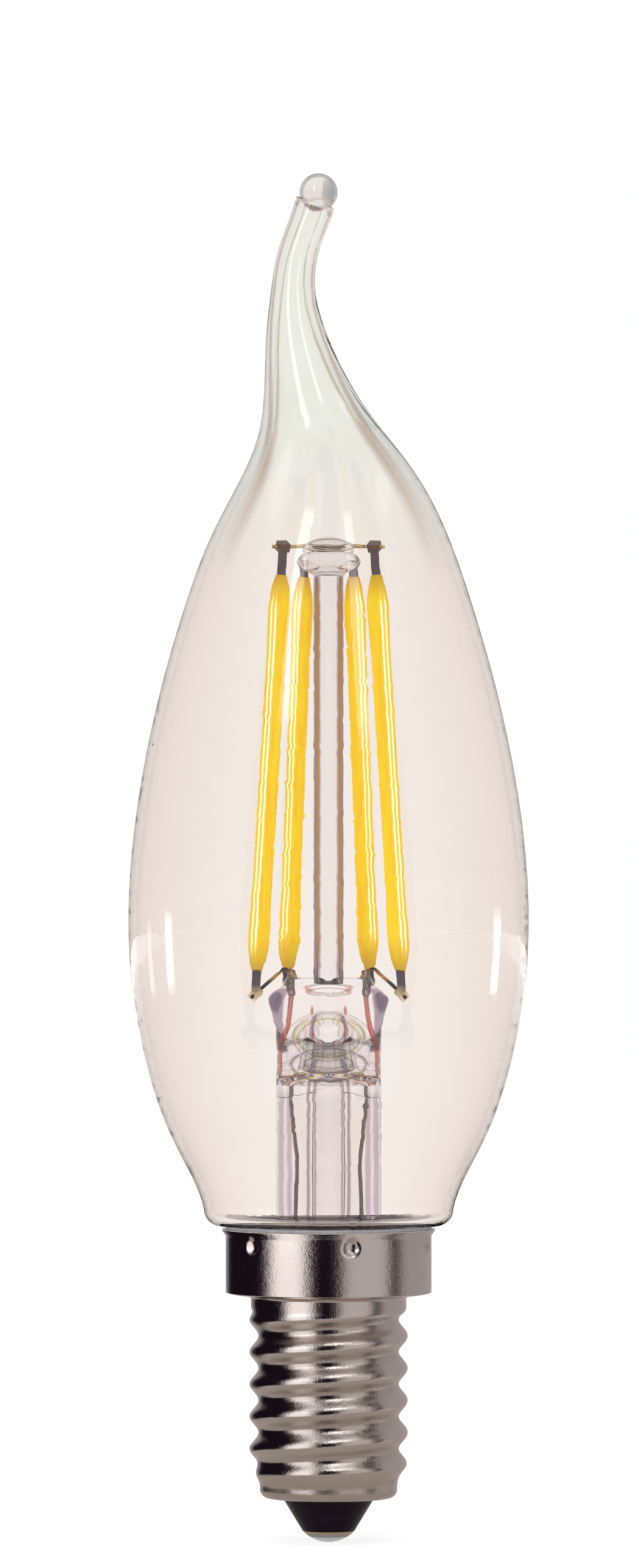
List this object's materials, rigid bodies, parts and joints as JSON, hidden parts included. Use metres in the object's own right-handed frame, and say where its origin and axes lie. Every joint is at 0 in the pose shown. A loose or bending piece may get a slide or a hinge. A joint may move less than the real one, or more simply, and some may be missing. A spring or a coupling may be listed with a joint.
{
  "type": "candle bulb",
  "caption": "Clear glass candle bulb with a bent tip, upright light filaments on a glass stem and a small screw cap.",
  "frame": {"origin": "lowest point of the centre contact, on the cap's axis", "axes": "+Z along the cap's axis up to the glass tip, -Y towards the viewer of the picture, the tip leans to -X"},
  "size_m": [0.035, 0.035, 0.1198],
  "materials": {
    "clear_glass": "clear blown soda-lime glass",
    "stem_glass": "clear stem glass",
    "cap_nickel": "bright nickel-plated sheet",
    "insulator_glass": "near-black glass insulator",
    "contact_metal": "tinned contact rivet",
    "cap_cement": "matt capping cement",
    "phosphor_coat": "glossy yellow silicone coat",
    "carrier_strip": "pale carrier strip",
    "tab_metal": "dull grey end tab",
    "hanger_wire": "gold-toned hanger wire",
    "arm_wire": "dark oxidised wire",
    "seal_wire": "copper-clad seal wire, orange-red in the glass",
    "lead_wire": "dark lead wire",
    "board_laminate": "green board laminate",
    "package_black": "black moulded package",
    "capacitor_can": "plain aluminium can",
    "resistor_body": "matt painted resistor body",
    "tinned_wire": "tinned wire"
  },
  "bodies": {
    "root": {"glass_envelope": "clear_glass", "stem_tube": "stem_glass", "exhaust_tube": "stem_glass", "support_rod": "stem_glass", "cap_shell": "cap_nickel", "cap_insulator": "insulator_glass", "centre_contact": "contact_metal", "cap_cement": "cap_cement", "driver_board": "board_laminate", "bridge_rectifier": "package_black", "driver_chip": "package_black", "capacitor": "capacitor_can", "fusible_resistor": "resistor_body", "contact_wire": "tinned_wire", "shell_wire": "tinned_wire", "hanger_wire_front": "hanger_wire", "hanger_wire_rear": "hanger_wire", "seal_wire_left": "seal_wire", "seal_wire_right": "seal_wire", "outer_lead_left": "lead_wire", "outer_lead_right": "lead_wire", "lead_arm_front_left": "arm_wire", "filament_coat_front_left": "phosphor_coat", "filament_strip_front_left": "carrier_strip", "upper_tab_front_left": "tab_metal", "lower_tab_front_left": "tab_metal", "lead_arm_front_right": "arm_wire", "filament_coat_front_right": "phosphor_coat", "filament_strip_front_right": "carrier_strip", "upper_tab_front_right": "tab_metal", "lower_tab_front_right": "tab_metal", "lead_arm_rear_left": "arm_wire", "filament_coat_rear_left": "phosphor_coat", "filament_strip_rear_left": "carrier_strip", "upper_tab_rear_left": "tab_metal", "lower_tab_rear_left": "tab_metal", "lead_arm_rear_right": "arm_wire", "filament_coat_rear_right": "phosphor_coat", "filament_strip_rear_right": "carrier_strip", "upper_tab_rear_right": "tab_metal", "lower_tab_rear_right": "tab_metal"}
  },
  "joints": []
}
